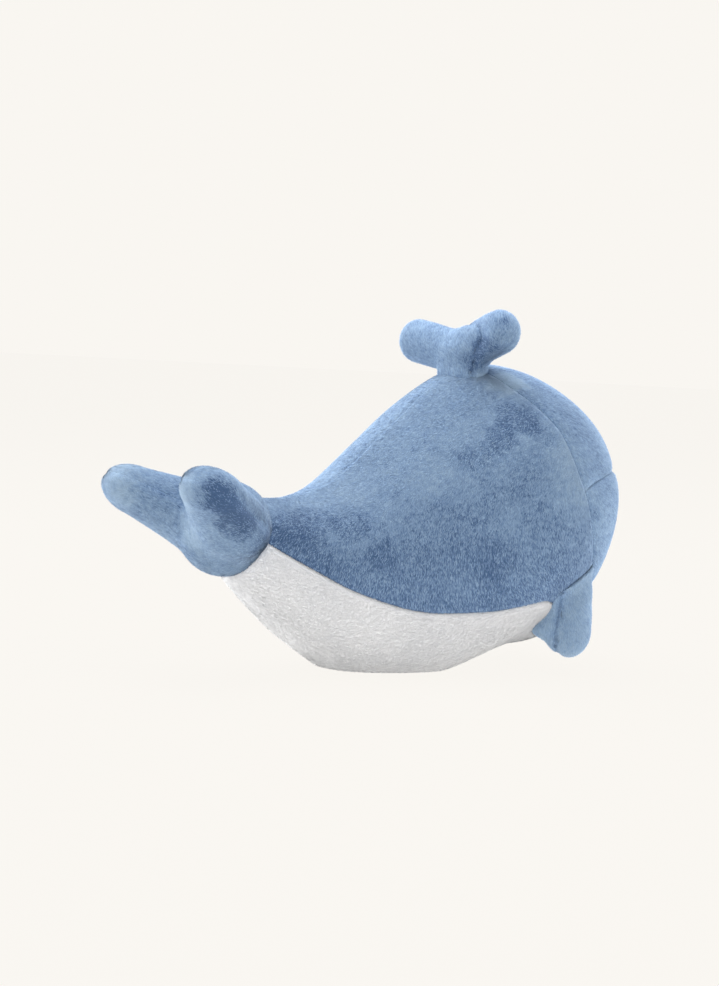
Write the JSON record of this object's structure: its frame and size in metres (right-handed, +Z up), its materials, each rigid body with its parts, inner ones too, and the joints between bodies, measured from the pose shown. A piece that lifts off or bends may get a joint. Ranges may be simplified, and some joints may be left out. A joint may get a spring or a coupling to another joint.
{
  "type": "plush whale",
  "caption": "Stuffed whale toy lying on its belly: a rounded body in pile panels, raised tail flukes, a forked spout on the crown, side flippers and safety eyes.",
  "frame": {"origin": "centre of the flat on which the belly rests", "axes": "+X towards the nose, +Y to the whale's left, +Z up"},
  "size_m": [0.2942, 0.1542, 0.1936],
  "materials": {
    "blue_pile": "short dense plush pile, soft sheen",
    "white_pile": "short dense plush pile, soft sheen",
    "filling": "loose polyester fibre, matte",
    "pellet_bag": "plastic pellets in a plain cloth bag",
    "eye_button": "polished black",
    "washer": "moulded, unpolished"
  },
  "bodies": {
    "whale_body": {"body_fill": "filling", "bean_bag": "pellet_bag", "side_panel_right": "blue_pile", "side_panel_left": "blue_pile", "forehead_gusset": "blue_pile", "face_panel": "blue_pile", "belly_panel": "white_pile", "eye_right": "eye_button", "eye_washer_right": "washer", "eye_left": "eye_button", "eye_washer_left": "washer"},
    "tail": {"fluke_fill_right": "filling", "fluke_fill_left": "filling", "fluke_top_panel": "blue_pile", "fluke_bottom_panel": "blue_pile"},
    "spout": {"spout_fill_right": "filling", "spout_fill_left": "filling", "spout_front_panel": "blue_pile", "spout_back_panel": "blue_pile"},
    "flipper_right": {"flipper_right_fill": "filling", "flipper_right_outer_panel": "blue_pile", "flipper_right_inner_panel": "blue_pile"},
    "flipper_left": {"flipper_left_fill": "filling", "flipper_left_outer_panel": "blue_pile", "flipper_left_inner_panel": "blue_pile"}
  },
  "joints": [
    {"name": "tail_bend", "type": "hinge", "parent": "whale_body", "child": "tail", "pos_m": [-0.10671, 0, 0.07535], "axis": [0, 1, 0], "range_deg": [-20, 20], "stiffness_Nm_per_rad": 0.4},
    {"name": "spout_nod", "type": "hinge", "parent": "whale_body", "child": "spout", "pos_m": [0.04904, -0.00022, 0.15748], "axis": [0, 0.9962, -0.0872], "range_deg": [-25, 12], "stiffness_Nm_per_rad": 0.15},
    {"name": "flipper_right_swing", "type": "hinge", "parent": "whale_body", "child": "flipper_right", "pos_m": [0.08103, -0.06037, 0.05075], "axis": [-0.9075, -0.2949, -0.2991], "range_deg": [0, 50], "stiffness_Nm_per_rad": 0.12},
    {"name": "flipper_left_swing", "type": "hinge", "parent": "whale_body", "child": "flipper_left", "pos_m": [0.08103, 0.06037, 0.05075], "axis": [0.9075, -0.2949, 0.2991], "range_deg": [0, 50], "stiffness_Nm_per_rad": 0.12}
  ]
}
